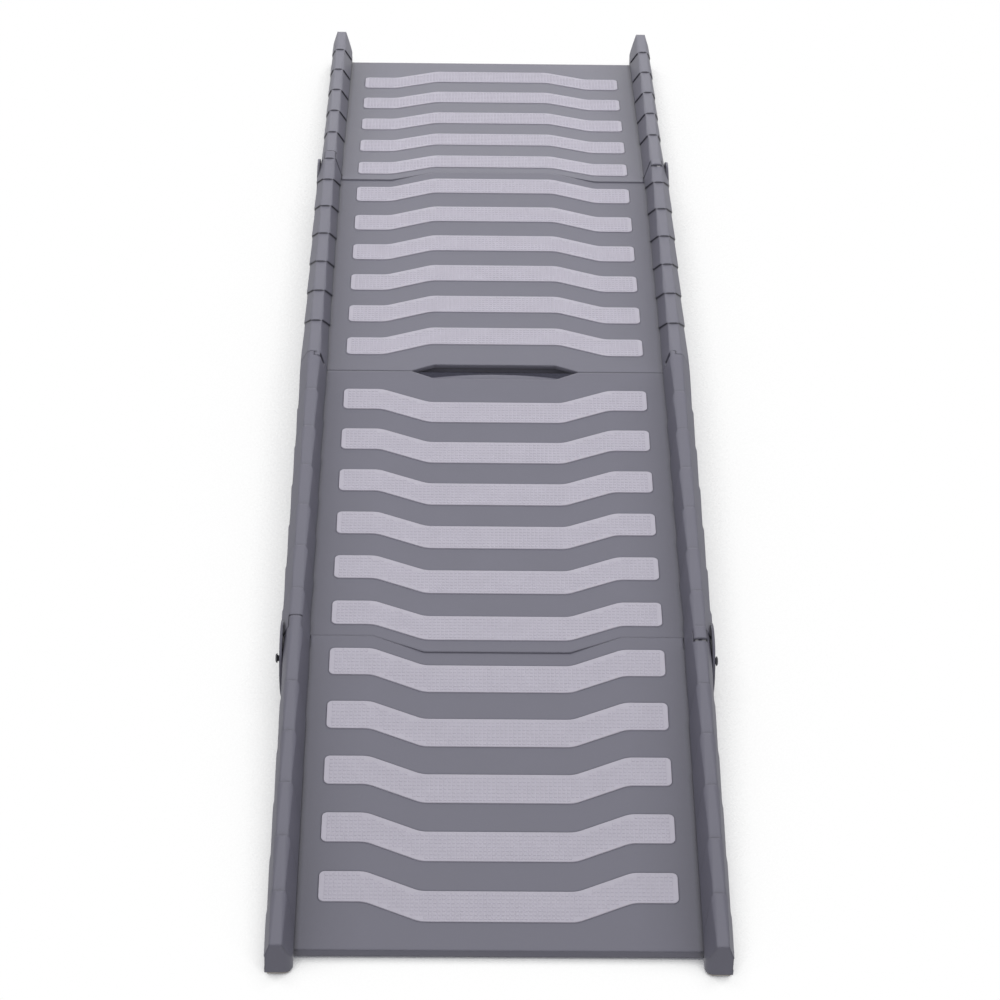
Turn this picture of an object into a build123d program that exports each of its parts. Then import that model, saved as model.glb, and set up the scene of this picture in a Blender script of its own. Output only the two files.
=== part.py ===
from build123d import *
import math
import os

# Folding dog ramp, standing open on the floor as a shallow arch of four hinged panels.
# Millimetres and degrees. X runs across, Y from the near end to the far end, Z up from the floor.
# The near inner and near end panels are drawn once; the far pair are the same mouldings turned half round.

# Layout of the treads
tread_width = 346.0
tread_middle_height = 75.0
inner_tilt = 2.5
end_tilt = 7.5
bend_lead = 9.75
deck_thickness = 4.0
end_margin = 30.0

# Anti-slip strips
strip_pitch = 65.0
strip_width = 32.5
strip_first = 52.5
strip_margin = 18.5
strip_thickness = 2.0
strip_recess = 1.2
strip_corner = 5.0
strip_bend_radius = 26.0
strip_clearance = 0.15
inner_strips = 6
end_strips = 5
wave_offset = 21.0
wave_centre = 135.0
wave_slope = 48.0

# Rails and side walls
rail_height = 24.0
rail_rise = 1.55
rail_lean = 7.0
crown_shoulder = 4.5
rail_shoulder = 9.0
crown_radius = 6.0
rail_width = 27.2
wall = 2.5
nest_clearance = 1.0
rail_overhang = 20.0
nose_length = 30.0
nose_radius = 3.0
nose_corner = 8.0
scale_pitch = 60.8
scale_lead = 7.0
scale_step = 1.2
scale_slant = 49.0
skirt_lift = 2.0
relief_lift = 8.0
relief_length = 140.0
end_skirt_inset = 9.0

# Ribs and cross walls
rib_depth = 8.0
rib_thickness = 2.5
rib_spacing = 116.0
rib_pitch = 65.0
end_wall = 4.0
lip_height = 8.5

# Outer hinges
pin_depth = 19.0
lug_radius = 35.5
bolt_radius = 3.0
bolt_head_radius = 4.5
bolt_head_height = 1.8
bolt_neck = 3.5
boss_radius = 9.0
washer_thickness = 0.8
nut_radius = 5.5
nut_height = 4.0
running_clearance = 0.05
end_play = 0.5
seam_gap = 0.6
tongue_length = 14.0
tongue_clearance = 0.5

# Middle hinge
rod_radius = 3.0
rod_height = 6.0
knuckle_radius = 5.5
knuckle_count = 8
knuckle_gap = 0.4
knuckle_room = 1.0
rod_cap_radius = 5.0
rod_cap_length = 4.5
rod_cap_depth = 3.0
lap_length = 6.0
lap_width = 8.0
lap_clearance = 0.4

# Carry handle
opening_width = 173.0
opening_flat = 125.0
opening_depth = 12.5
hand_window = 46.0
handle_drop = 3.0
handle_sag = 6.0
handle_thickness = 14.0
handle_gap = 1.0
handle_reach = 76.0
tab_length = 22.0
tab_thickness = 6.0
screw_radius = 2.0
screw_head_radius = 3.8
screw_head_height = 2.0
screw_length = 9.0
screw_sink = 0.2

# Rubber feet
foot_height = 4.0
foot_length = 26.0
foot_inset = 2.0
edge_foot_length = 40.0
edge_foot_inset = 66.5

# Sizes that follow from the ones above
rail_foot = tread_width / 2
inner_half_width = rail_foot + rail_width
deck_half = rail_foot + wall / 2
crown_inner = rail_foot + rail_lean
end_half_width = inner_half_width - wall - nest_clearance
crown_outer = end_half_width - crown_shoulder
bend_angle = end_tilt - inner_tilt
half_bend = math.tan(math.radians(bend_angle / 2))
rise_slope = math.tan(math.radians(rail_rise))
slant = math.tan(math.radians(scale_slant))
lean = rail_lean / rail_height
strip_half = rail_foot - strip_margin
wave_inner = wave_centre / 2
wave_outer = wave_inner + wave_slope
strip_space = strip_pitch - strip_width
seam_centre = strip_first + inner_strips * strip_pitch - strip_space / 2
bend_distance = seam_centre - bend_lead
last_strip_end = strip_first + (inner_strips + end_strips) * strip_pitch - strip_space
tread_end = last_strip_end + end_margin - bend_distance
inner_pin_y = -bend_distance + pin_depth * half_bend
end_pin_y = -pin_depth * half_bend
reach = 3 * bend_distance
far_below = -2 * tread_middle_height

seam = -seam_gap / 2
knuckle_end = inner_half_width - wall - rod_cap_length - knuckle_gap
knuckle_span = 2 * knuckle_end / knuckle_count
skirt_outer = end_half_width - end_skirt_inset
skirt_inner = skirt_outer - wall
handle_end_top = tread_middle_height - handle_drop - handle_sag
screw_x = opening_width / 2 + screw_head_radius
screw_z = handle_end_top - handle_thickness / 2

near_inner = Pos(0, 0, tread_middle_height) * Rot(inner_tilt, 0, 0)
near_end = near_inner * Pos(0, -bend_distance, 0) * Rot(bend_angle, 0, 0)
half_turn = Rot(0, 0, 180)


def place(location, y, z):
    """World Y and Z of a point given in a panel's own frame."""
    point = (location * Pos(0, y, z)).position
    return point.Y, point.Z


nose_tip = -tread_end - rail_overhang
tip_y, tip_z = place(near_end, nose_tip, 0)
nose_y = tip_y + tip_z * math.tan(math.radians(end_tilt))
nose_top = rail_height - nose_tip * rise_slope
pin_y, pin_z = place(near_inner, inner_pin_y, -pin_depth)


def prism_x(points, x_low, x_high):
    """Outline of (y, z) points carried from x_low to x_high."""
    outline = Wire.make_polygon([(x_low, y, z) for y, z in points], close=True)
    return extrude(Face(outline), amount=x_high - x_low, dir=(1, 0, 0))


def prism_z(points, z_low, z_high):
    """Outline of (x, y) points carried from z_low to z_high."""
    outline = Wire.make_polygon([(x, y, z_low) for x, y in points], close=True)
    return extrude(Face(outline), amount=z_high - z_low, dir=(0, 0, 1))


def prism_down(points, z_high, shift):
    """Outline of (x, y) points carried down from z_high along a slanting shift of x, y and z."""
    outline = Wire.make_polygon([(x, y, z_high) for x, y in points], close=True)
    return extrude(Face(outline), amount=Vector(*shift).length, dir=shift)


def block(x_low, x_high, y_low, y_high, z_low, z_high):
    """Box between six planes."""
    return prism_z([(x_low, y_low), (x_high, y_low), (x_high, y_high), (x_low, y_high)], z_low, z_high)


def rod_x(radius, x_low, x_high, y, z):
    """Round bar along X."""
    middle = (x_low + x_high) / 2
    return Pos(middle, y, z) * Rot(0, 90, 0) * Cylinder(radius, abs(x_high - x_low))


def rod_y(radius, y_low, y_high, x, z):
    """Round bar along Y."""
    middle = (y_low + y_high) / 2
    return Pos(x, middle, z) * Rot(90, 0, 0) * Cylinder(radius, abs(y_high - y_low))


def both_sides(right):
    """A right-hand piece and its mirror image on the left."""
    return right + mirror(right, about=Plane.YZ)


def wave(y_side, y_centre, x_limit):
    """Points of the zigzag line that the strips and the outer seams follow, from left to right."""
    left = [(-x_limit, y_side), (-wave_outer, y_side), (-wave_inner, y_centre)]
    return left + [(-x, y) for x, y in reversed(left)]


def strip_face(distance):
    """Plan outline of the strip whose centre stretch starts this far from the frame's origin."""
    start = wave(-distance + wave_offset, -distance, strip_half)
    finish = [(x, y - strip_width) for x, y in reversed(start)]
    face = make_face(Polyline(*start, *finish, close=True))
    ends = [v for v in face.vertices() if abs(v.X) > wave_outer + strip_corner]
    face = fillet(ends, radius=strip_corner)
    bends = [v for v in face.vertices() if abs(v.X) < wave_outer + strip_corner]
    return fillet(bends, radius=strip_bend_radius)


def strip_solid(distance):
    """One strip, seated on the floor of its recess."""
    return extrude(Pos(0, 0, -strip_recess) * strip_face(distance), amount=strip_thickness)


def strip_recess_cut(distance):
    """The strip's recess in the tread."""
    outline = offset(strip_face(distance), strip_clearance)
    return extrude(Pos(0, 0, -strip_recess) * outline, amount=strip_thickness)


def rail_face(half_width, depth, hollow):
    """Right-hand rail in section, down to a depth, as an open channel or filled for its closed ends."""
    slope = (half_width - crown_outer) / (rail_height - rail_shoulder)
    ceiling = rail_height - wall
    outside = [
        (rail_foot, -depth),
        (rail_foot, 0),
        (crown_inner, rail_height),
        (crown_outer, rail_height),
        (half_width, rail_shoulder),
        (half_width, -depth),
    ]
    inside = [
        (half_width - wall, -depth),
        (half_width - wall, rail_shoulder - wall / 2),
        (crown_outer - wall / 2 + slope * wall / 2, ceiling),
        (rail_foot + wall + lean * ceiling, ceiling),
        (rail_foot + wall, 0),
        (rail_foot + wall, -depth),
    ]
    points = outside + inside if hollow else outside
    face = make_face(Polyline(*points, close=True))
    crown = [v for v in face.vertices() if v.Y > rail_height - wall / 2]
    return fillet(crown, radius=crown_radius)


def rail_bar(half_width, y_high, y_low, hollow):
    """Right-hand rail between two distances along a panel, level with the tread."""
    section = Plane.XZ.offset(-y_high) * rail_face(half_width, deck_thickness, hollow)
    return extrude(section, amount=y_high - y_low)


def rising_rail(y_high, y_low, hollow):
    """Right-hand end rail between two distances along the panel, climbing away from the tread."""
    depth = deck_thickness - y_low * rise_slope
    section = Plane.XZ.offset(-y_high) * rail_face(end_half_width, depth, hollow)
    length = y_high - y_low
    climb = (0, -length, length * rise_slope)
    bar = extrude(Pos(0, 0, -y_high * rise_slope) * section, amount=Vector(*climb).length, dir=climb)
    return bar - block(0, reach, y_low - wall, y_high + wall, far_below, -deck_thickness)


def rail_tongue(half_width, y_high, y_low):
    """Stretch of the right-hand rail's crown skin that laps into the next panel's rail."""
    skin = block(crown_inner, crown_outer, y_low, y_high, rail_height - wall, rail_height)
    return rail_bar(half_width, y_high, y_low, False) & skin


def rail_slot(y_high, y_low):
    """Room for the next panel's tongue in the right-hand rail's crown."""
    low = rail_height - wall - tongue_clearance
    x_low = crown_inner - tongue_clearance
    x_high = crown_outer + tongue_clearance
    return block(x_low, x_high, y_low, y_high, low, 2 * rail_height)


def rail_scales(half_width, first, y_low, slope):
    """Wedges that leave the right-hand rail's stepped segments, each with its full end towards the middle."""
    flare = (half_width - crown_outer) / (rail_height - rail_shoulder)
    shoulder_drop = rail_height - rail_shoulder
    drift = 1 + slope * slant
    cuts = []
    for index in range(math.ceil((first - y_low) / scale_pitch)):
        start = first - index * scale_pitch
        stop = start - scale_pitch
        high = rail_height - start * slope
        climb = scale_pitch * slope
        top = [(start, high), (stop, high + climb - scale_step)]
        top += [(stop, high + climb + wall), (start, high + climb + wall)]
        cuts.append(prism_x(top, rail_foot, half_width + wall))
        inner = [(crown_inner, start), (crown_inner - lean * climb + scale_step, stop)]
        inner += [(rail_foot - wall, stop), (rail_foot - wall, start)]
        drop = high
        cuts.append(prism_down(inner, high, (-lean * drop * drift, -slant * drop, -drop)))
        outer = [(crown_outer, start), (crown_outer + flare * climb - scale_step, stop)]
        outer += [(half_width + wall, stop), (half_width + wall, start)]
        drop = shoulder_drop
        cuts.append(prism_down(outer, high, (flare * drop * drift, -slant * drop, -drop)))
        side = [(half_width, start - slant * drop), (half_width - scale_step, stop - slant * drop)]
        side += [(half_width + wall, stop - slant * drop), (half_width + wall, start - slant * drop)]
        drop = high - shoulder_drop + deck_thickness
        cuts.append(prism_down(side, high - shoulder_drop, (0, -slant * drop, -drop)))
    return cuts


def ribs(y_high, y_low):
    """Lengthwise and cross ribs under a tread."""
    floor = -deck_thickness - rib_depth
    root = (-deck_thickness - strip_recess) / 2
    half = rib_thickness / 2
    parts = []
    for x in (-rib_spacing, 0, rib_spacing):
        parts.append(block(x - half, x + half, y_low, y_high, floor, root))
    for index in range(int((y_high - y_low) / rib_pitch) + 1):
        y = y_high - index * rib_pitch
        parts.append(block(-rail_foot, rail_foot, y - rib_thickness, y, floor, root))
    return parts


def inner_panel():
    """Near inner panel in the world frame, without the carry handle's screw holes."""
    rail = rail_bar(inner_half_width, lap_length, -bend_distance - deck_thickness, True)
    closed = rail_bar(inner_half_width, lap_length, -wall - lap_length, False)
    stop = -bend_distance + seam_gap / 2
    hinge_line = [(stop - z * half_bend, z) for z in (-rail_height, 2 * rail_height)]
    beyond = hinge_line + [(-reach, 2 * rail_height), (-reach, -rail_height)]
    rail = rail + closed - rail_scales(inner_half_width, 0, -bend_distance, 0)
    rail = rail - prism_x(beyond, 0, reach)

    skirt = [(lap_length, 0), (lap_length, far_below), (inner_pin_y, far_below), (inner_pin_y, 0)]
    side = prism_x(skirt, inner_half_width - wall, inner_half_width)
    side = side + rod_x(lug_radius, inner_half_width - wall, inner_half_width, inner_pin_y, -pin_depth)

    edge = wave(wave_offset - seam_centre + seam_gap / 2, -seam_centre + seam_gap / 2, deck_half)
    deck_outline = edge + [(deck_half, lap_length), (-deck_half, lap_length)]
    deck = prism_z(deck_outline, -deck_thickness, 0)
    edge_ribs = ribs(-opening_depth - end_wall, wave_offset - seam_centre + strip_space / 2)
    tongue = rail_tongue(inner_half_width, -bend_distance + wall, -bend_distance - tongue_length)
    slot = rail_slot(-bend_distance + tongue_length + tongue_clearance, -bend_distance - tongue_length)

    panel = both_sides(rail) + both_sides(side) + deck + edge_ribs
    panel = panel + tongue - mirror(slot, about=Plane.YZ)
    recesses = [strip_recess_cut(strip_first + index * strip_pitch) for index in range(inner_strips)]
    holes = both_sides(rod_x(bolt_radius + running_clearance, rail_foot, reach, inner_pin_y, -pin_depth))
    panel = panel - recesses - holes
    panel = near_inner * panel

    # Floor clearance, with a shallow relief towards the middle hinge, and the middle seam
    under = [(lap_length + wall, far_below), (lap_length + wall, relief_lift), (0, relief_lift)]
    under += [(-relief_length, skirt_lift), (-reach, skirt_lift), (-reach, far_below)]
    panel = panel - prism_x(under, -reach, reach)
    panel = panel - block(-reach, reach, seam, reach, far_below, -far_below)
    wall_half = inner_half_width - wall / 2
    wall_top = tread_middle_height - deck_thickness / 2
    panel = panel + block(-wall_half, wall_half, seam - end_wall, seam, relief_lift, wall_top)

    # Half-lap on the rails: a tab on the right, the recess for the other panel's tab on the left
    lap_floor = tread_middle_height + rail_shoulder
    lap_top = tread_middle_height + rail_height
    lap_inner = crown_inner - wall
    lap_outer = lap_inner + lap_width
    tab = block(crown_inner, lap_outer, -wall, lap_length, lap_floor, lap_top - lap_clearance)
    tab = tab & (near_inner * rail_bar(inner_half_width, 2 * lap_length, -lap_length, False))
    pocket_y = -lap_length - lap_clearance
    pocket_top = tread_middle_height + 2 * rail_height
    pocket_floor = lap_floor - lap_clearance
    pocket = block(-lap_outer - lap_clearance, -rail_foot, pocket_y, 0, pocket_floor, pocket_top)
    panel = panel + tab - pocket

    # Hand opening through the seam edge
    half_seam = opening_width / 2
    half_flat = opening_flat / 2
    notch = [(-half_seam, 0), (-half_flat, -opening_depth), (half_flat, -opening_depth), (half_seam, 0)]
    window_floor = tread_middle_height - hand_window
    panel = panel - prism_z(notch, window_floor, pocket_top)

    # Knuckles of the middle hinge, taking every second place along the rod
    clear = knuckle_radius + knuckle_room
    for index in range(knuckle_count):
        left = (index - knuckle_count / 2) * knuckle_span
        if index % 2:
            low = left - knuckle_gap / 2
            high = left + knuckle_span + knuckle_gap / 2
            panel = panel - rod_x(clear, low, high, 0, rod_height)
        else:
            low = left + knuckle_gap / 2
            high = left + knuckle_span - knuckle_gap / 2
            barrel = rod_x(knuckle_radius, low, high, 0, rod_height)
            web = block(low, high, seam - end_wall, seam, rod_height, rod_height + clear + wall)
            panel = panel + barrel + web
    bore = rod_x(rod_radius + running_clearance, -reach, reach, 0, rod_height)
    cap_room = rod_x(rod_cap_radius + knuckle_room, knuckle_end, inner_half_width - wall, 0, rod_height)
    return panel - bore - both_sides(cap_room)


def end_panel():
    """Near end panel in the world frame."""
    lip_line = -tread_end + nose_length
    rail = rising_rail(deck_thickness, nose_tip, True) + rising_rail(lip_line, nose_tip, False)
    rail = rail - rail_scales(end_half_width, -scale_lead, nose_tip, rise_slope)
    hinge_line = [(z * half_bend - seam_gap / 2, z) for z in (-rail_height, 2 * rail_height)]
    beyond = hinge_line + [(reach, 2 * rail_height), (reach, -rail_height)]
    rail = rail - prism_x(beyond, 0, reach)
    nose = block(rail_foot, end_half_width, nose_tip, lip_line, far_below, 0)

    skirt_start = -tongue_length - tongue_clearance - wall
    skirt_top = rail_height - wall / 2
    skirt = [(skirt_start, skirt_top - skirt_start * rise_slope), (skirt_start, far_below)]
    skirt += [(lip_line, far_below), (lip_line, skirt_top - lip_line * rise_slope)]
    side = prism_x(skirt, skirt_inner, skirt_outer)
    side = side + rod_x(lug_radius, skirt_inner, skirt_outer, end_pin_y, -pin_depth)
    side = side + rod_x(boss_radius, skirt_inner, end_half_width, end_pin_y, -pin_depth)

    side_y = bend_distance - seam_centre + wave_offset - seam_gap / 2
    centre_y = bend_distance - seam_centre - seam_gap / 2
    neck = rail_foot - tongue_clearance
    edge = wave(side_y, centre_y, neck)
    outline = edge + [(neck, -deck_thickness), (deck_half, -deck_thickness), (deck_half, -tread_end)]
    outline += [(-deck_half, -tread_end), (-deck_half, -deck_thickness), (-neck, -deck_thickness)]
    deck = prism_z(outline, -deck_thickness, 0)
    lip_back = -tread_end + end_wall
    lip = block(-deck_half, deck_half, -tread_end, lip_back, -lip_height, -strip_recess)
    edge_ribs = ribs(centre_y - strip_space / 2, lip_line)

    tongue = rail_tongue(end_half_width, tongue_length, -wall)
    slot = rail_slot(tongue_length, -tongue_length - tongue_clearance)

    panel = both_sides(rail + nose) + both_sides(side) + deck + lip + edge_ribs
    panel = panel + mirror(tongue, about=Plane.YZ) - slot
    first = strip_first + inner_strips * strip_pitch - bend_distance
    recesses = [strip_recess_cut(first + index * strip_pitch) for index in range(end_strips)]
    holes = both_sides(rod_x(bolt_radius + running_clearance, rail_foot, reach, end_pin_y, -pin_depth))
    panel = panel - recesses - holes

    # Rounded top and inner front edges of the noses
    bend_y = nose_tip + nose_radius
    bend_z = nose_top - nose_radius
    front = block(rail_foot, reach, nose_tip - wall, bend_y, bend_z, nose_top + wall)
    front = front - rod_x(nose_radius, rail_foot, reach, bend_y, bend_z)
    corner_x = rail_foot + nose_corner
    corner_y = nose_tip + nose_corner
    corner = block(rail_foot - wall, corner_x, nose_tip - wall, corner_y, far_below, nose_top + wall)
    corner = corner - Pos(corner_x, corner_y, 0) * Cylinder(nose_corner, reach)
    panel = near_end * (panel - both_sides(front) - both_sides(corner))

    # Floor clearance and the feet's seats
    under = [(reach, skirt_lift), (reach, far_below), (-reach, far_below), (-reach, skirt_lift)]
    panel = panel - prism_x(under, -reach, reach)
    heel = nose_y + foot_length + 2 * foot_inset
    return panel - both_sides(block(rail_foot, reach, -reach, heel, far_below, foot_height))


def carry_handle():
    """Arched grip bar in the near panel's hand opening, with a tab at each end behind the cross wall."""
    back = seam - end_wall - tab_thickness
    front = seam - handle_gap
    crown = tread_middle_height - handle_drop
    upper = ThreePointArc((-handle_reach, handle_end_top), (0, crown), (handle_reach, handle_end_top))
    low_end = handle_end_top - handle_thickness
    lower = ThreePointArc((handle_reach, low_end), (0, crown - handle_thickness), (-handle_reach, low_end))
    right = Line(upper @ 1, lower @ 0)
    left = Line(lower @ 1, upper @ 0)
    outline = make_face([upper, right, lower, left])
    bar = extrude(Plane.XZ.offset(-front) * outline, amount=front - back)
    tab_end = opening_width / 2 + tab_length / 2
    tab = block(handle_reach - tab_length / 2, tab_end, back, seam - end_wall, low_end, handle_end_top)
    return bar + both_sides(tab) - handle_screw_holes()


def handle_screw(clearance, front):
    """Right-hand screw that holds the handle from the seam face or, with a clearance, its hole."""
    head_back = seam - screw_sink - screw_head_height
    tip = seam - screw_sink - screw_length - clearance
    shank = rod_y(screw_radius + clearance, tip, front, screw_x, screw_z)
    return shank + rod_y(screw_head_radius + clearance, head_back, front, screw_x, screw_z)


def handle_screws():
    """Both screws, with their heads sunk below the seam face."""
    return both_sides(handle_screw(0, seam - screw_sink))


def handle_screw_holes():
    """Both screws' holes, open to the seam face."""
    return both_sides(handle_screw(running_clearance, seam + screw_sink))


def hinge_bolt(neck):
    """Right-hand outer hinge bolt, its round head standing off the side wall by a neck."""
    inner_end = skirt_inner - end_play - nut_height - wall / 2 - bolt_neck + neck
    neck_end = inner_half_width + neck
    shank = rod_x(bolt_radius, inner_end, neck_end, pin_y, pin_z)
    return shank + rod_x(bolt_head_radius, neck_end, neck_end + bolt_head_height, pin_y, pin_z)


def ring_x(outer, inner, x_low, x_high):
    """Ring about the near outer hinge's axis."""
    return rod_x(outer, x_low, x_high, pin_y, pin_z) - rod_x(inner, x_low, x_high, pin_y, pin_z)


def hinge_washer():
    """Right-hand washer between the end panel's boss and the inner panel's lug."""
    play = (nest_clearance - washer_thickness) / 2
    low = end_half_width + play
    return ring_x(boss_radius, bolt_radius + running_clearance, low, low + washer_thickness)


def hinge_nut():
    """Right-hand nut on the bolt's inner end."""
    high = skirt_inner - end_play
    return ring_x(nut_radius, bolt_radius + running_clearance, high - nut_height, high)


def hinge_rod():
    """Steel rod of the middle hinge."""
    half = knuckle_end + knuckle_gap / 2 + rod_cap_depth
    return rod_x(rod_radius, -half, half, 0, rod_height)


def hinge_rod_cap():
    """Right-hand push-on cap of the rod, with a blind bore."""
    low = knuckle_end + knuckle_gap / 2
    cap = rod_x(rod_cap_radius, low, low + rod_cap_length, 0, rod_height)
    return cap - rod_x(rod_radius + running_clearance, low, low + rod_cap_depth, 0, rod_height)


def end_foot():
    """Right-hand rubber foot under the near end panel's nose."""
    heel = nose_y + foot_inset
    x_low = rail_foot + foot_inset
    foot = block(x_low, end_half_width - foot_inset, heel, heel + foot_length, 0, foot_height)
    radius = nose_corner - foot_inset
    corner = block(x_low - wall, x_low + radius, heel - wall, heel + radius, -wall, foot_height + wall)
    return foot - (corner - Pos(x_low + radius, heel + radius, 0) * Cylinder(radius, reach))


def edge_foot():
    """Right-hand rubber pad under the near inner panel's side wall."""
    middle = edge_foot_inset - bend_distance
    half = edge_foot_length / 2
    return block(inner_half_width - wall, inner_half_width, middle - half, middle + half, 0, skirt_lift)


def pieces():
    """Every sub-part by name, in place."""
    inner = inner_panel()
    end = end_panel()
    near = {
        "end_panel": end,
        "hinge_washers": both_sides(hinge_washer()),
        "hinge_nuts": both_sides(hinge_nut()),
        "end_feet": both_sides(end_foot()),
        "edge_feet": both_sides(edge_foot()),
    }
    parts = {
        "inner_panel_near": inner - handle_screw_holes(),
        "inner_panel_far": half_turn * inner,
        "carry_handle": carry_handle(),
        "handle_screws": handle_screws(),
        "hinge_rod": hinge_rod(),
        "hinge_rod_caps": both_sides(hinge_rod_cap()),
        "hinge_bolts_near": both_sides(hinge_bolt(bolt_neck)),
        "hinge_bolts_far": half_turn * both_sides(hinge_bolt(0)),
    }
    for name, shape in near.items():
        parts[name + "_near"] = shape
        parts[name + "_far"] = half_turn * shape

    # Strips are numbered from the near end to the far end
    half_count = inner_strips + end_strips
    for index in range(half_count):
        distance = strip_first + index * strip_pitch
        on_inner = index < inner_strips
        frame = near_inner if on_inner else near_end
        strip = frame * strip_solid(distance if on_inner else distance - bend_distance)
        parts[f"tread_strip_{half_count - index:02d}"] = strip
        parts[f"tread_strip_{half_count + index + 1:02d}"] = half_turn * strip
    return parts


def main():
    os.makedirs("parts", exist_ok=True)
    for name, shape in pieces().items():
        export_step(shape, os.path.join("parts", name + ".step"))


if __name__ == "__main__":
    main()
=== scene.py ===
"""Looks of a folding dog ramp, laid out as an add-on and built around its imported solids."""

import math

import bmesh
import bpy
from bpy.props import FloatProperty, FloatVectorProperty, PointerProperty
from bpy.types import Operator, Panel, PropertyGroup
from mathutils import Matrix, Vector


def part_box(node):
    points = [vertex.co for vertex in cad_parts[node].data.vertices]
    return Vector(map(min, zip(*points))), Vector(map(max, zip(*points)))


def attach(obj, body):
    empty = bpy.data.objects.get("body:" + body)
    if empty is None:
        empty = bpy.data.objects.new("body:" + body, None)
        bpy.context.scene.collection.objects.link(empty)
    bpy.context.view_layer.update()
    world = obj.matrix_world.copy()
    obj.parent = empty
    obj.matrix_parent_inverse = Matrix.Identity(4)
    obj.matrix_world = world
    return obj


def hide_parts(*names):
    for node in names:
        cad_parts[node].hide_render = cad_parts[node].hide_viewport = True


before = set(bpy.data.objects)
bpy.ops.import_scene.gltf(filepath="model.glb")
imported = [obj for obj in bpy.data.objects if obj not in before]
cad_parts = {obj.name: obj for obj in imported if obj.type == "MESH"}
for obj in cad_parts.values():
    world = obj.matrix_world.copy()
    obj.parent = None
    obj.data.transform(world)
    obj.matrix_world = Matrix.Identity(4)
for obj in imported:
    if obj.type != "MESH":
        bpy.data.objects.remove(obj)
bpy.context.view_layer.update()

bl_info = {
    "name": "Folding dog ramp",
    "version": (1, 0, 0),
    "blender": (4, 5, 0),
    "location": "View3D > Sidebar > Dog Ramp",
    "description": "Finishes, grip strips, hinge hardware and stage of a folding dog ramp",
    "category": "Object",
}

MM = 0.001
WHITE = (1.0, 1.0, 1.0, 1.0)

PANELS = ("end_panel_near", "inner_panel_near", "inner_panel_far", "end_panel_far")
SIDES = ("near", "far")
# First and last strip on each body
STRIP_BODIES = {
    "end_near": (1, 5),
    "inner_near": (6, 11),
    "inner_far": (12, 17),
    "end_far": (18, 22),
}

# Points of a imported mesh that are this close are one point
SAME_POINT = 0.01 * MM
# A nut's first and last ring are the same, and are joined within this distance
SAME_RING = 0.001 * MM
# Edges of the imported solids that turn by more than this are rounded, in so many facets
SHARP_ANGLE = math.radians(35)
ROUND_FACETS = 3
# A face whose normal has at least this upward share belongs to a strip's upper face
UPWARD = 0.9
# A strip's rounded edge in three facets: shares of the radius inwards and downwards
STRIP_EDGE = ((0.0, 1.0), (0.134, 0.5), (0.5, 0.134), (1.0, 0.0))
# A mitred corner of an inset outline moves by no more than twice the distance
MITRE_LIMIT = 0.5
# A nub's sides lean in to this share of its width, and its foot is sunk into the strip
NUB_TAPER = 0.8
NUB_SINK = 0.05 * MM
SQUARE = ((-1, -1), (1, -1), (1, 1), (-1, 1))

CIRCLE_POINTS = 48
# Points this near the end of a bolt belong to its tip
TIP_SLICE = 0.1 * MM
# Chamfers at a bolt's tip and a nut's bore, as shares of the radius
TIP_CHAMFER = 0.2
BORE_CHAMFER = 0.1
# Depth of the thread as a share of its pitch, and rings drawn for each turn
THREAD_DEPTH = 0.3
THREAD_RINGS = 8
# A bolt's domed head: shares of its height and of its radius
HEAD_DOME = ((0.0, 0.94), (0.12, 1.0), (0.55, 0.97), (0.82, 0.86), (1.0, 0.68))
# The socket's mouth against its width, and its chamfer and floor as shares of the head's height
SOCKET_MOUTH = 1.05
SOCKET_CHAMFER = 0.1
SOCKET_DEPTH = 0.8

# Painted shade that darkens the panels where they are closed in: reach in millimetres, range of
# openness, share of the colour left. The painted shade lies beside the rails, and in the creases.
PAINTED_SHADING = ((60, (0.75, 0.98), 0.68), (5, (0.75, 0.99), 0.55))

# Lamps in metres: width and height, place, and the point that each faces. A softbox hangs over
# the ramp, a low bright backdrop gives the far end its sheen, and a low fill stands in front.
LAMPS = {
    "softbox": ((1.6, 2.2), (0, 0.4, 2.0), (0, 0.4, 0)),
    "backdrop": ((3.0, 1.3), (0, 2.6, 0.7), (0, 0, 0.7)),
    "fill": ((3.0, 1.3), (0, -3.0, 0.8), (0, 0, 0)),
}
# The floor sends up this share of the light that comes from above the horizon
FLOOR_RETURN = 0.25
# Half the height of the band at the horizon where the one light fades into the other
HORIZON = 0.1
# Floor in metres: half its side, how far the ramp shades it, and the openness from shade to pale
FLOOR_HALF = 6.0
SHADE_REACH = 0.5
SHADE_RANGE = (0.1, 0.68)
# Width of the camera's sensor in millimetres, and the end of its view in metres
SENSOR_WIDTH = 36.0
VIEW_END = 50.0


def linear(code):
    """Linear colour of an sRGB hex value."""
    channels = [int(code[i:i + 2], 16) / 255 for i in (1, 3, 5)]
    return tuple(c / 12.92 if c <= 0.04045 else ((c + 0.055) / 1.055) ** 2.4 for c in channels)


def opaque(colour):
    """A colour property as a shader colour."""
    return (*colour, 1.0)


def colour_property(name, description, code):
    """A colour that a user may change, given as a hex value."""
    return FloatVectorProperty(
        name=name, description=description, default=linear(code),
        subtype="COLOR", size=3, min=0, max=1,
    )


def length_property(name, description, millimetres):
    """A length that a user may change, given in millimetres."""
    return FloatProperty(
        name=name, description=description, default=millimetres * MM,
        subtype="DISTANCE", unit="LENGTH", min=0,
    )


def place_property(name, description, millimetres):
    """A coordinate that a user may change, given in millimetres."""
    return FloatProperty(
        name=name, description=description, default=millimetres * MM,
        subtype="DISTANCE", unit="LENGTH",
    )


def angle_property(name, description, degrees):
    """An angle that a user may change, given in degrees."""
    return FloatProperty(
        name=name, description=description, default=math.radians(degrees),
        subtype="ANGLE", unit="ROTATION",
    )


def power_property(name, description, watts):
    """A lamp's power that a user may change, given in watts."""
    return FloatProperty(
        name=name, description=description, default=watts,
        subtype="POWER", unit="POWER", min=0,
    )


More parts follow.
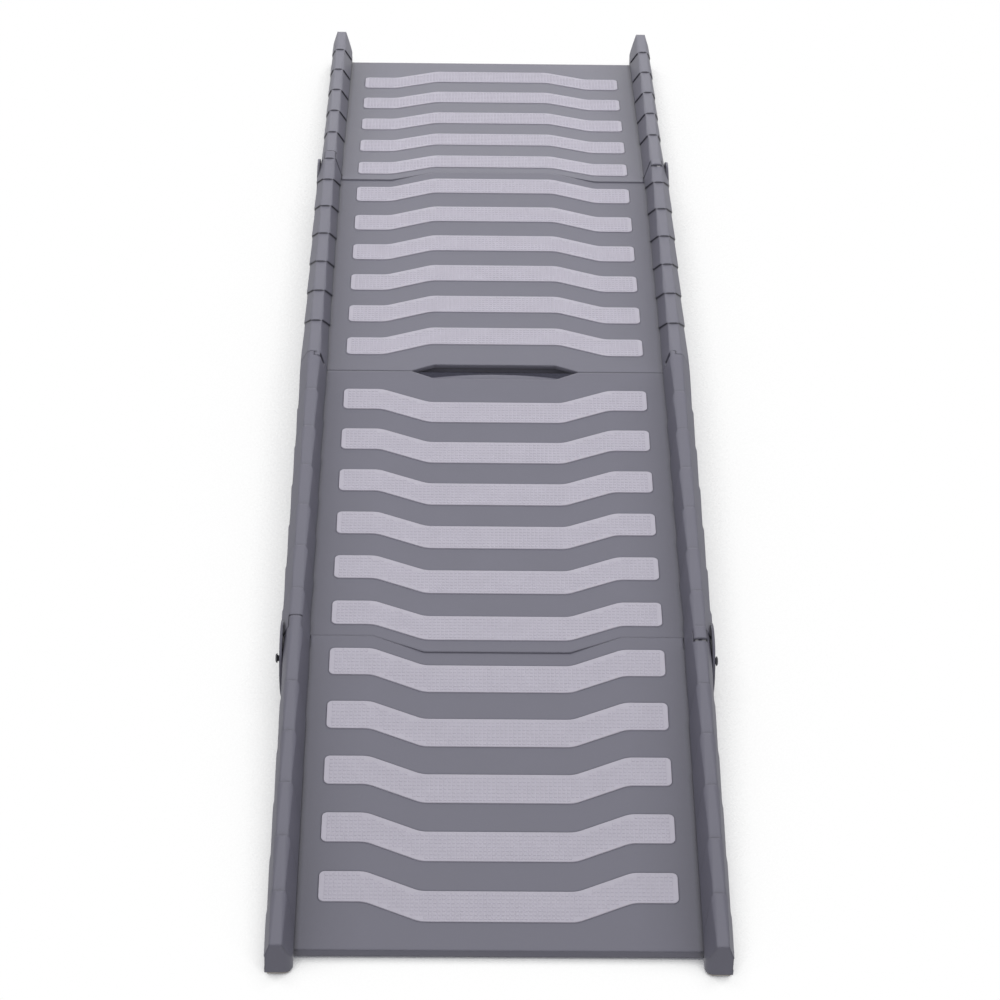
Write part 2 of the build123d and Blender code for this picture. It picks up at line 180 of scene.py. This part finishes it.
class DogRampFinish(PropertyGroup):
    """Colours of the ramp's materials."""

    panel: colour_property("Panel grey", "Moulded panels and handle", "#757482")
    panel_fleck: colour_property("Panel fleck", "Darker mottle in the panels", "#6B6A78")
    strip: colour_property("Strip grey", "Grip strips", "#CDC9D6")
    strip_dull: colour_property("Strip shade", "Duller patches of the grip strips", "#C3BFCC")
    foot: colour_property("Foot", "Rubber feet", "#C9C3BC")
    bolt: colour_property("Bolt", "Blackened hinge bolts", "#4A4A4E")
    zinc: colour_property("Zinc", "Plated rod, nuts and screws", "#C4C6C9")
    cap: colour_property("Cap", "Caps on the hinge rod and washers", "#3A3A40")


class DogRampSizes(PropertyGroup):
    """Sizes of the details that the solids leave out."""

    grip_round: length_property("Grip rounding", "Radius on the carry handle's edges", 2.5)
    foot_round: length_property("Foot rounding", "Radius on the feet's edges", 1.0)
    trim_round: length_property("Trim rounding", "Radius on small parts' edges", 0.2)
    nub_pitch: length_property("Nub pitch", "Spacing of the grip nubs across the ramp", 3.9)
    nub_row: length_property("Nub row", "Spacing of the rows of nubs", 4.2)
    nub_width: length_property("Nub width", "Width of a grip nub at its foot", 3.2)
    nub_height: length_property("Nub height", "Height of a grip nub", 0.45)
    strip_border: length_property("Strip border", "Plain border round the nubs", 1.8)
    strip_round: length_property("Strip rounding", "Radius on the strips' upper edge", 0.6)
    thread_pitch: length_property("Thread pitch", "Pitch of the hinge bolts' thread", 1.0)
    socket_width: length_property("Socket width", "Width of the bolts' hexagon socket", 4.0)


class DogRampStage(PropertyGroup):
    """Camera and light."""

    camera_x: place_property("Camera X", "Camera position across the ramp", -38.7)
    camera_y: place_property("Camera Y", "Camera position along the ramp", -2541.5)
    camera_z: place_property("Camera Z", "Camera height above the floor", 1846.7)
    camera_pitch: angle_property("Pitch", "Camera tilt below the horizon", 37.326)
    camera_yaw: angle_property("Yaw", "Camera turn towards the right", 1.0439)
    camera_roll: angle_property("Roll", "Camera roll, right side up", 1.0803)
    lens: FloatProperty(
        name="Lens", description="Focal length", default=108.0,
        subtype="DISTANCE_CAMERA", unit="CAMERA", min=1,
    )
    sky: FloatProperty(
        name="Sky", description="Strength of the light from all round", default=0.36, min=0,
    )
    softbox: power_property("Softbox", "Power of the overhead softbox", 22.0)
    backdrop: power_property("Backdrop", "Power of the lit backdrop", 17.0)
    fill: power_property("Fill", "Power of the low lamp on the camera's side", 16.0)
    shade: colour_property("Floor shade", "Floor in the object's shadow", "#41414C")


def node(tree, kind, inputs=None, **settings):
    """Adds one shader node, sets it up and fills its inputs with values or links."""
    made = tree.nodes.new(kind)
    for name, value in settings.items():
        setattr(made, name, value)
    for name, value in (inputs or {}).items():
        if isinstance(value, bpy.types.NodeSocket):
            tree.links.new(value, made.inputs[name])
        else:
            made.inputs[name].default_value = value
    return made


def empty_material(name):
    """A new material and its empty tree."""
    material = bpy.data.materials.new(name)
    material.use_nodes = True
    material.node_tree.nodes.clear()
    return material, material.node_tree


def per_metre(millimetres):
    """Texture scale whose pattern repeats at this size."""
    return 1 / (millimetres * MM)


def panel_material(finish):
    """Polypropylene moulded in a spark-eroded tool.

    A matt grey with a fine pebbled grain and a broad soft sheen.
    """
    material, tree = empty_material("moulded_polypropylene")
    place = node(tree, "ShaderNodeTexCoord").outputs["Object"]
    # Mottle of the pigment about 45 mm wide
    mottle = node(
        tree, "ShaderNodeTexNoise",
        {"Vector": place, "Scale": per_metre(45), "Detail": 4.0},
    ).outputs["Fac"]
    tint = node(
        tree, "ShaderNodeMix",
        {"Factor": mottle, "A": opaque(finish.panel_fleck), "B": opaque(finish.panel)},
        data_type="RGBA",
    ).outputs["Result"]
    # Painted shade: the colour darkens where the panel is closed in, beside the rails and in the
    # creases
    for reach, (closed, clear), darkest in PAINTED_SHADING:
        corner = node(
            tree, "ShaderNodeAmbientOcclusion", {"Distance": reach * MM},
            samples=3, only_local=True,
        )
        painted_shade = node(
            tree, "ShaderNodeMapRange",
            {"Value": corner.outputs["AO"], "From Min": closed, "From Max": clear,
             "To Min": darkest, "To Max": 1.0},
        )
        tint = node(
            tree, "ShaderNodeMix",
            {"Factor": 1.0, "A": tint, "B": painted_shade.outputs["Result"]},
            data_type="RGBA", blend_type="MULTIPLY",
        ).outputs["Result"]
    # Eroded grain is about 0.5 mm wide; drawn at 1.6 mm so that it shows
    grain = node(
        tree, "ShaderNodeTexVoronoi", {"Vector": place, "Scale": per_metre(1.6)},
        feature="SMOOTH_F1",
    )
    # Moulded edges are broken by about 3 mm
    soft = node(tree, "ShaderNodeBevel", {"Radius": 3 * MM}, samples=4)
    bump = node(
        tree, "ShaderNodeBump",
        {"Height": grain.outputs["Distance"], "Strength": 0.22, "Distance": 0.3 * MM,
         "Normal": soft.outputs["Normal"]},
    )
    polish = node(
        tree, "ShaderNodeMapRange", {"Value": mottle, "To Min": 0.48, "To Max": 0.58},
    )
    shader = node(
        tree, "ShaderNodeBsdfPrincipled",
        {"Base Color": tint, "Roughness": polish.outputs["Result"], "IOR": 1.49,
         "Normal": bump.outputs["Normal"]},
    )
    node(tree, "ShaderNodeOutputMaterial", {"Surface": shader.outputs["BSDF"]})
    return material


def strip_material(finish):
    """Thermoplastic rubber moulded in a nubbed tool: pale, dull and slightly blotched."""
    material, tree = empty_material("moulded_thermoplastic_rubber")
    place = node(tree, "ShaderNodeTexCoord").outputs["Object"]
    # Blotches of handling and mould release about 20 mm wide
    blotch = node(
        tree, "ShaderNodeTexNoise",
        {"Vector": place, "Scale": per_metre(20), "Detail": 3.0},
    ).outputs["Fac"]
    tint = node(
        tree, "ShaderNodeMix",
        {"Factor": blotch, "A": opaque(finish.strip_dull), "B": opaque(finish.strip)},
        data_type="RGBA",
    )
    # Skin pores are about 0.2 mm; drawn at 1 mm so that they show
    pores = node(
        tree, "ShaderNodeTexNoise",
        {"Vector": place, "Scale": per_metre(1.0), "Detail": 2.0},
    )
    bump = node(
        tree, "ShaderNodeBump",
        {"Height": pores.outputs["Fac"], "Strength": 0.15, "Distance": 0.2 * MM},
    )
    shader = node(
        tree, "ShaderNodeBsdfPrincipled",
        {"Base Color": tint.outputs["Result"], "Roughness": 0.72, "IOR": 1.5,
         "Normal": bump.outputs["Normal"]},
    )
    node(tree, "ShaderNodeOutputMaterial", {"Surface": shader.outputs["BSDF"]})
    return material


def foot_material(finish):
    """Vulcanised rubber cut from sheet: dull, pale and slightly dusty."""
    material, tree = empty_material("vulcanised_rubber")
    place = node(tree, "ShaderNodeTexCoord").outputs["Object"]
    # Specks of dust and scuffs about 6 mm wide leave eight tenths of the colour
    dust = node(
        tree, "ShaderNodeTexNoise",
        {"Vector": place, "Scale": per_metre(6), "Detail": 5.0},
    ).outputs["Fac"]
    dusty = [channel * 0.8 for channel in finish.foot]
    tint = node(
        tree, "ShaderNodeMix",
        {"Factor": dust, "A": opaque(dusty), "B": opaque(finish.foot)},
        data_type="RGBA",
    )
    bump = node(
        tree, "ShaderNodeBump", {"Height": dust, "Strength": 0.2, "Distance": 0.3 * MM},
    )
    shader = node(
        tree, "ShaderNodeBsdfPrincipled",
        {"Base Color": tint.outputs["Result"], "Roughness": 0.82, "IOR": 1.52,
         "Normal": bump.outputs["Normal"]},
    )
    node(tree, "ShaderNodeOutputMaterial", {"Surface": shader.outputs["BSDF"]})
    return material


def metal_material(name, colour, roughness, marks_width):
    """Turned steel with a plated or blackened skin: fine marks from the tool and patchy gloss."""
    material, tree = empty_material(name)
    place = node(tree, "ShaderNodeTexCoord").outputs["Object"]
    # Tool marks are about 0.1 mm apart; drawn about ten times as wide so that they show
    marks = node(
        tree, "ShaderNodeTexNoise",
        {"Vector": place, "Scale": per_metre(marks_width), "Detail": 3.0},
    ).outputs["Fac"]
    gloss = node(
        tree, "ShaderNodeMapRange",
        {"Value": marks, "To Min": roughness - 0.08, "To Max": roughness + 0.12},
    )
    bump = node(
        tree, "ShaderNodeBump", {"Height": marks, "Strength": 0.12, "Distance": 0.1 * MM},
    )
    shader = node(
        tree, "ShaderNodeBsdfPrincipled",
        {"Base Color": opaque(colour), "Metallic": 1.0, "Roughness": gloss.outputs["Result"],
         "Normal": bump.outputs["Normal"]},
    )
    node(tree, "ShaderNodeOutputMaterial", {"Surface": shader.outputs["BSDF"]})
    return material


def cap_material(finish):
    """Nylon moulded in a polished tool: dark with a tight waxy gloss."""
    material, tree = empty_material("moulded_nylon")
    place = node(tree, "ShaderNodeTexCoord").outputs["Object"]
    # Flow marks about 3 mm wide
    flow = node(
        tree, "ShaderNodeTexNoise",
        {"Vector": place, "Scale": per_metre(3), "Detail": 2.0},
    )
    gloss = node(
        tree, "ShaderNodeMapRange",
        {"Value": flow.outputs["Fac"], "To Min": 0.3, "To Max": 0.45},
    )
    shader = node(
        tree, "ShaderNodeBsdfPrincipled",
        {"Base Color": opaque(finish.cap), "Roughness": gloss.outputs["Result"], "IOR": 1.53},
    )
    node(tree, "ShaderNodeOutputMaterial", {"Surface": shader.outputs["BSDF"]})
    return material


def finish_node(name, material, rounding=0.0):
    """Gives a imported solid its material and, where asked, rounded edges."""
    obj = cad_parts[name]
    obj.data.materials.clear()
    obj.data.materials.append(material)
    if rounding:
        weld = obj.modifiers.new("joined_corners", "WELD")
        weld.merge_threshold = SAME_POINT
        bevel = obj.modifiers.new("rounded_edges", "BEVEL")
        bevel.width = rounding
        bevel.segments = ROUND_FACETS
        bevel.limit_method = "ANGLE"
        bevel.angle_limit = SHARP_ANGLE
        bevel.harden_normals = True


def new_piece(name, bm, material, body, slot, *nodes):
    """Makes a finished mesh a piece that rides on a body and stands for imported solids."""
    bmesh.ops.recalc_face_normals(bm, faces=bm.faces)
    mesh = bpy.data.meshes.new(name)
    bm.to_mesh(mesh)
    bm.free()
    mesh.materials.append(material)
    obj = bpy.data.objects.new(name, mesh)
    bpy.context.scene.collection.objects.link(obj)
    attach(obj, body)
    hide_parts(*nodes)


def skin(bm, rings):
    """Joins closed rings of points, one after the other, into a tube and returns its vertices."""
    made = [[bm.verts.new(point) for point in points] for points in rings]
    for lower, upper in zip(made, made[1:]):
        for index in range(len(lower)):
            after = (index + 1) % len(lower)
            bm.faces.new((lower[index], lower[after], upper[after], upper[index]))
    return made


def solid(bm, rings):
    """A tube of rings with its two ends closed."""
    made = skin(bm, rings)
    bm.faces.new(reversed(made[0]))
    bm.faces.new(made[-1])


def upper_outline(obj):
    """Edge of a strip's upper face in order, and the face's directions: along X, across, out."""
    bm = bmesh.new()
    bm.from_mesh(obj.data)
    bmesh.ops.remove_doubles(bm, verts=bm.verts, dist=SAME_POINT)
    upper = [face for face in bm.faces if face.normal.z > UPWARD]
    outward = max(upper, key=lambda face: face.calc_area()).normal.copy()
    after = {}
    for face in upper:
        for loop in face.loops:
            if sum(other in upper for other in loop.edge.link_faces) == 1:
                after[loop.vert] = loop.link_loop_next.vert
    start = next(iter(after))
    outline = [start.co.copy()]
    vert = after[start]
    while vert is not start:
        outline.append(vert.co.copy())
        vert = after[vert]
    bm.free()
    along = Vector((1, 0, 0))
    return outline, along, outward.cross(along), outward


def inset(points, distance):
    """A plan outline moved inwards, given anticlockwise."""
    moved = []
    for index, point in enumerate(points):
        arriving = (point - points[index - 1]).normalized()
        leaving = (points[(index + 1) % len(points)] - point).normalized()
        middle = (arriving + leaving).normalized()
        inward = Vector((-middle.y, middle.x))
        moved.append(point + inward * distance / max(MITRE_LIMIT, middle.dot(leaving)))
    return moved


def inside(points, x, y):
    """Whether a plan outline holds a point."""
    odd = False
    for a, b in zip(points, points[1:] + points[:1]):
        if (a.y > y) != (b.y > y) and x < a.x + (y - a.y) * (b.x - a.x) / (b.y - a.y):
            odd = not odd
    return odd


def strip_mesh(obj, sizes):
    """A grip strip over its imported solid: soft upper edge, plain border, field of square nubs."""
    outline, along, across, outward = upper_outline(obj)
    low, high = (Vector(corner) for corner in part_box(obj.name))
    origin = (low + high) / 2
    origin = origin + outward * (outline[0] - origin).dot(outward)
    offsets = [point - origin for point in outline]
    plan = [Vector((offset.dot(along), offset.dot(across))) for offset in offsets]
    depth = max((origin - vert.co).dot(outward) for vert in obj.data.vertices)

    def lift(points, height):
        return [origin + along * x + across * y + outward * height for x, y in points]

    bm = bmesh.new()
    soft = sizes.strip_round
    rings = [lift(plan, -depth)]
    rings += [lift(inset(plan, soft * moved), -soft * down) for moved, down in STRIP_EDGE]
    solid(bm, rings)

    field = inset(plan, sizes.strip_border)
    foot = sizes.nub_width / 2
    crown = NUB_TAPER * foot
    columns = int(max(point.x for point in plan) / sizes.nub_pitch)
    rows = int(max(abs(point.y) for point in plan) / sizes.nub_row)
    for column in range(-columns, columns + 1):
        for row in range(-rows, rows + 1):
            x = column * sizes.nub_pitch
            y = (row + 0.5) * sizes.nub_row
            if all(inside(field, x + foot * i, y + foot * j) for i, j in SQUARE):
                base = lift([(x + foot * i, y + foot * j) for i, j in SQUARE], -NUB_SINK)
                top = lift([(x + crown * i, y + crown * j) for i, j in SQUARE], sizes.nub_height)
                solid(bm, [base, top])
    return bm


def right_hand(name):
    """Points of the right-hand solid of a paired node."""
    return [vert.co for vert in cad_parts[name].data.vertices if vert.co.x > 0]


def corners(points):
    """Lowest and highest corner of some points."""
    low = Vector([min(point[axis] for point in points) for axis in range(3)])
    high = Vector([max(point[axis] for point in points) for axis in range(3)])
    return low, high


def from_axis(point, y, z):
    """Distance of a point from an axis along X."""
    return math.hypot(point.y - y, point.z - z)


def ring(x, radius, y, z):
    """Points of a circle about an axis along X; the radius may be a function of the angle."""
    points = []
    for index in range(CIRCLE_POINTS):
        angle = 2 * math.pi * index / CIRCLE_POINTS
        r = radius(angle) if callable(radius) else radius
        points.append(Vector((x, y + r * math.cos(angle), z + r * math.sin(angle))))
    return points


def hexagon(width):
    """Radius of a hexagon of this width across its flats, by angle."""
    sixth = math.pi / 3
    return lambda angle: width / 2 / math.cos(angle % sixth - sixth / 2)


def mirrored(rings):
    """The same rings on the other side of the ramp."""
    return [[Vector((-p.x, p.y, p.z)) for p in points] for points in rings]


def bolt_rings(name, sizes):
    """Rings of a right-hand bolt from tip to socket: shank, threaded neck, domed head."""
    points = right_hand(name)
    low, high = corners(points)
    y = (low.y + high.y) / 2
    z = (low.z + high.z) / 2
    head_radius = (high.z - low.z) / 2
    radius = max(from_axis(point, y, z) for point in points if point.x < low.x + TIP_SLICE)
    # The head starts where the solid is wider than halfway between shank and head
    wide = (radius + head_radius) / 2
    neck = min(point.x for point in points if from_axis(point, y, z) > wide)
    wall = min(neck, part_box("inner_panel_near")[1][0])
    lead = TIP_CHAMFER * radius
    rings = [
        ring(low.x, radius - lead, y, z),
        ring(low.x + lead, radius, y, z),
        ring(wall, radius, y, z),
    ]
    depth = THREAD_DEPTH * sizes.thread_pitch
    steps = round(THREAD_RINGS * (neck - wall) / sizes.thread_pitch)
    for index in range(1, steps + 1):
        x = wall + (neck - wall) * index / steps

        def thread(angle, x=x):
            turn = (x / sizes.thread_pitch - angle / (2 * math.pi)) % 1
            return radius - depth * (1 - abs(2 * turn - 1))

        rings.append(ring(x, thread, y, z))
    height = high.x - neck
    rings += [ring(neck + height * up, head_radius * out, y, z) for up, out in HEAD_DOME]
    socket = hexagon(sizes.socket_width)
    rings.append(ring(high.x, lambda angle: SOCKET_MOUTH * socket(angle), y, z))
    rings.append(ring(high.x - SOCKET_CHAMFER * height, socket, y, z))
    rings.append(ring(high.x - SOCKET_DEPTH * height, socket, y, z))
    return rings


def nut_rings(name):
    """Rings round a right-hand hexagon nut and through its bore, chamfered at both faces."""
    points = right_hand(name)
    low, high = corners(points)
    y = (low.y + high.y) / 2
    z = (low.z + high.z) / 2
    bore = min(from_axis(point, y, z) for point in points)
    corner = (high.z - low.z) / 2
    face = corner * math.cos(math.pi / 6)
    flats = hexagon(2 * face)
    lead = BORE_CHAMFER * bore
    chamfer = corner - face
    return [
        ring(low.x, bore + lead, y, z),
        ring(low.x, face, y, z),
        ring(low.x + chamfer / 2, flats, y, z),
        ring(high.x - chamfer / 2, flats, y, z),
        ring(high.x, face, y, z),
        ring(high.x, bore + lead, y, z),
        ring(high.x - lead, bore, y, z),
        ring(low.x + lead, bore, y, z),
        ring(low.x, bore + lead, y, z),
    ]


def add_lamp(name, power, size, place, aim):
    """A rectangular lamp at a place, turned to a point."""
    lamp = bpy.data.lights.new(name, "AREA")
    lamp.shape = "RECTANGLE"
    lamp.size, lamp.size_y = size
    lamp.energy = power
    obj = bpy.data.objects.new(name, lamp)
    bpy.context.scene.collection.objects.link(obj)
    obj.location = place
    obj.rotation_euler = (Vector(aim) - Vector(place)).to_track_quat("-Z", "Y").to_euler()
    obj.visible_camera = False


def light_world(scene, sky):
    """A white studio to the eye and in reflections, whose light on the ramp is softer."""
    world = bpy.data.worlds.new("pale_studio")
    scene.world = world
    world.use_nodes = True
    tree = world.node_tree
    tree.nodes.clear()
    path = node(tree, "ShaderNodeLightPath").outputs
    seen = path["Is Camera Ray"]
    for ray in ("Is Glossy Ray", "Is Transmission Ray"):
        either = node(tree, "ShaderNodeMath", {0: seen, 1: path[ray]}, operation="MAXIMUM")
        seen = either.outputs[0]
    direction = node(tree, "ShaderNodeTexCoord").outputs["Generated"]
    way = node(tree, "ShaderNodeSeparateXYZ", {0: direction})
    level = node(
        tree, "ShaderNodeMapRange",
        {"Value": way.outputs["Z"], "From Min": -HORIZON, "From Max": HORIZON,
         "To Min": sky * FLOOR_RETURN, "To Max": sky},
    )
    light = node(
        tree, "ShaderNodeBackground", {"Color": WHITE, "Strength": level.outputs["Result"]},
    )
    white = node(tree, "ShaderNodeBackground", {"Color": WHITE, "Strength": 1.0})
    mixed = node(
        tree, "ShaderNodeMixShader", {0: seen, 1: light.outputs[0], 2: white.outputs[0]},
    )
    node(tree, "ShaderNodeOutputWorld", {"Surface": mixed.outputs[0]})


def floor_material(shade):
    """Pale paper floor: shaded under the ramp, fading to white just outside it.

    Only the eye sees it, so that it casts no shade on the ramp where a folded part is below it.
    """
    material, tree = empty_material("pale_floor")
    near = node(tree, "ShaderNodeAmbientOcclusion", {"Distance": SHADE_REACH}, samples=4)
    open_air = node(
        tree, "ShaderNodeMapRange",
        {"Value": near.outputs["AO"], "From Min": SHADE_RANGE[0], "From Max": SHADE_RANGE[1]},
        interpolation_type="SMOOTHSTEP",
    )
    tone = node(
        tree, "ShaderNodeMix",
        {"Factor": open_air.outputs["Result"], "A": opaque(shade), "B": WHITE},
        data_type="RGBA",
    )
    clear = node(tree, "ShaderNodeBsdfTransparent", {"Color": WHITE})
    toned = node(tree, "ShaderNodeBsdfTransparent", {"Color": tone.outputs["Result"]})
    path = node(tree, "ShaderNodeLightPath").outputs
    shown = node(
        tree, "ShaderNodeMixShader",
        {0: path["Is Camera Ray"], 1: clear.outputs[0], 2: toned.outputs[0]},
    )
    node(tree, "ShaderNodeOutputMaterial", {"Surface": shown.outputs[0]})
    return material


class RAMP_OT_panels(Operator):
    """Finish the four moulded panels and the carry handle."""

    bl_idname = "ramp.panels"
    bl_label = "Panels and handle"

    def execute(self, context):
        sizes = context.scene.dog_ramp_sizes
        material = panel_material(context.scene.dog_ramp_finish)
        for name in PANELS:
            finish_node(name, material)
        finish_node("carry_handle", material, sizes.grip_round)
        return {"FINISHED"}


class RAMP_OT_strips(Operator):
    """Build the grip strips with their borders and nubs."""

    bl_idname = "ramp.strips"
    bl_label = "Grip strips"

    def execute(self, context):
        material = strip_material(context.scene.dog_ramp_finish)
        for body, (first, last) in STRIP_BODIES.items():
            for index in range(first, last + 1):
                name = f"tread_strip_{index:02d}"
                bm = strip_mesh(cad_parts[name], context.scene.dog_ramp_sizes)
                new_piece(f"grip_strip_{index:02d}", bm, material, body, "strip_rubber", name)
        return {"FINISHED"}


class RAMP_OT_hardware(Operator):
    """Build the hinge bolts and nuts, and finish the washers, rod, caps and handle screws."""

    bl_idname = "ramp.hardware"
    bl_label = "Hinge hardware"

    def execute(self, context):
        finish = context.scene.dog_ramp_finish
        sizes = context.scene.dog_ramp_sizes
        black = metal_material(
            "blackened_turned_steel", finish.bolt, roughness=0.42, marks_width=1.2,
        )
        zinc = metal_material("zinc_plated_steel", finish.zinc, roughness=0.3, marks_width=1.0)
        nylon = cap_material(finish)
        for side in SIDES:
            body = f"inner_{side}"
            name = f"hinge_bolts_{side}"
            bm = bmesh.new()
            bolt = bolt_rings(name, sizes)
            solid(bm, bolt)
            solid(bm, mirrored(bolt))
            new_piece(f"socket_bolts_{side}", bm, black, body, "dark_steel", name)
            name = f"hinge_nuts_{side}"
            bm = bmesh.new()
            nut = nut_rings(name)
            skin(bm, nut)
            skin(bm, mirrored(nut))
            bmesh.ops.remove_doubles(bm, verts=bm.verts, dist=SAME_RING)
            new_piece(f"hexagon_nuts_{side}", bm, zinc, body, "bright_steel", name)
            finish_node(f"hinge_washers_{side}", nylon, sizes.trim_round)
        finish_node("hinge_rod", zinc, sizes.trim_round)
        finish_node("handle_screws", zinc, sizes.trim_round)
        finish_node("hinge_rod_caps", nylon, sizes.trim_round)
        return {"FINISHED"}


class RAMP_OT_feet(Operator):
    """Finish the rubber feet."""

    bl_idname = "ramp.feet"
    bl_label = "Rubber feet"

    def execute(self, context):
        sizes = context.scene.dog_ramp_sizes
        material = foot_material(context.scene.dog_ramp_finish)
        for side in SIDES:
            finish_node(f"end_feet_{side}", material, sizes.foot_round)
            finish_node(f"edge_feet_{side}", material, sizes.trim_round)
        return {"FINISHED"}


class RAMP_OT_stage(Operator):
    """Make the floor, the light and the camera."""

    bl_idname = "ramp.stage"
    bl_label = "Stage"

    def execute(self, context):
        scene = context.scene
        settings = scene.dog_ramp_stage
        scene.view_settings.view_transform = "Standard"

        light_world(scene, settings.sky)
        for name, (size, place, aim) in LAMPS.items():
            add_lamp(name, getattr(settings, name), size, place, aim)

        mesh = bpy.data.meshes.new("floor")
        corner_points = [(FLOOR_HALF * i, FLOOR_HALF * j, 0) for i, j in SQUARE]
        mesh.from_pydata(corner_points, [], [(0, 1, 2, 3)])
        mesh.materials.append(floor_material(settings.shade))
        floor = bpy.data.objects.new("floor", mesh)
        scene.collection.objects.link(floor)

        camera = bpy.data.objects.new("camera", bpy.data.cameras.new("camera"))
        scene.collection.objects.link(camera)
        camera.data.lens = settings.lens
        camera.data.sensor_width = SENSOR_WIDTH
        camera.data.clip_end = VIEW_END
        camera.location = (settings.camera_x, settings.camera_y, settings.camera_z)
        turn = Matrix.Rotation(-settings.camera_yaw, 4, "Z")
        tilt = Matrix.Rotation(math.pi / 2 - settings.camera_pitch, 4, "X")
        roll = Matrix.Rotation(settings.camera_roll, 4, "Z")
        camera.rotation_euler = (turn @ tilt @ roll).to_euler()
        scene.camera = camera
        return {"FINISHED"}


class RAMP_PT_sidebar(Panel):
    """Lists the ramp's steps and settings."""

    bl_idname = "RAMP_PT_sidebar"
    bl_label = "Dog Ramp"
    bl_space_type = "VIEW_3D"
    bl_region_type = "UI"
    bl_category = "Dog Ramp"

    def draw(self, context):
        for step in STEPS:
            self.layout.operator(step.bl_idname)
        for setting in SETTINGS:
            group = getattr(context.scene, setting)
            box = self.layout.box()
            for name in group.__annotations__:
                box.prop(group, name)


SETTINGS = {
    "dog_ramp_finish": DogRampFinish,
    "dog_ramp_sizes": DogRampSizes,
    "dog_ramp_stage": DogRampStage,
}
STEPS = (RAMP_OT_panels, RAMP_OT_strips, RAMP_OT_hardware, RAMP_OT_feet, RAMP_OT_stage)
CLASSES = (*SETTINGS.values(), *STEPS, RAMP_PT_sidebar)


def register():
    for kind in CLASSES:
        bpy.utils.register_class(kind)
    for setting, group in SETTINGS.items():
        setattr(bpy.types.Scene, setting, PointerProperty(type=group))


def unregister():
    for setting in SETTINGS:
        delattr(bpy.types.Scene, setting)
    for kind in reversed(CLASSES):
        bpy.utils.unregister_class(kind)


def main():
    register()
    bpy.ops.ramp.panels()
    bpy.ops.ramp.strips()
    bpy.ops.ramp.hardware()
    bpy.ops.ramp.feet()
    bpy.ops.ramp.stage()


if __name__ == "__main__":
    main()
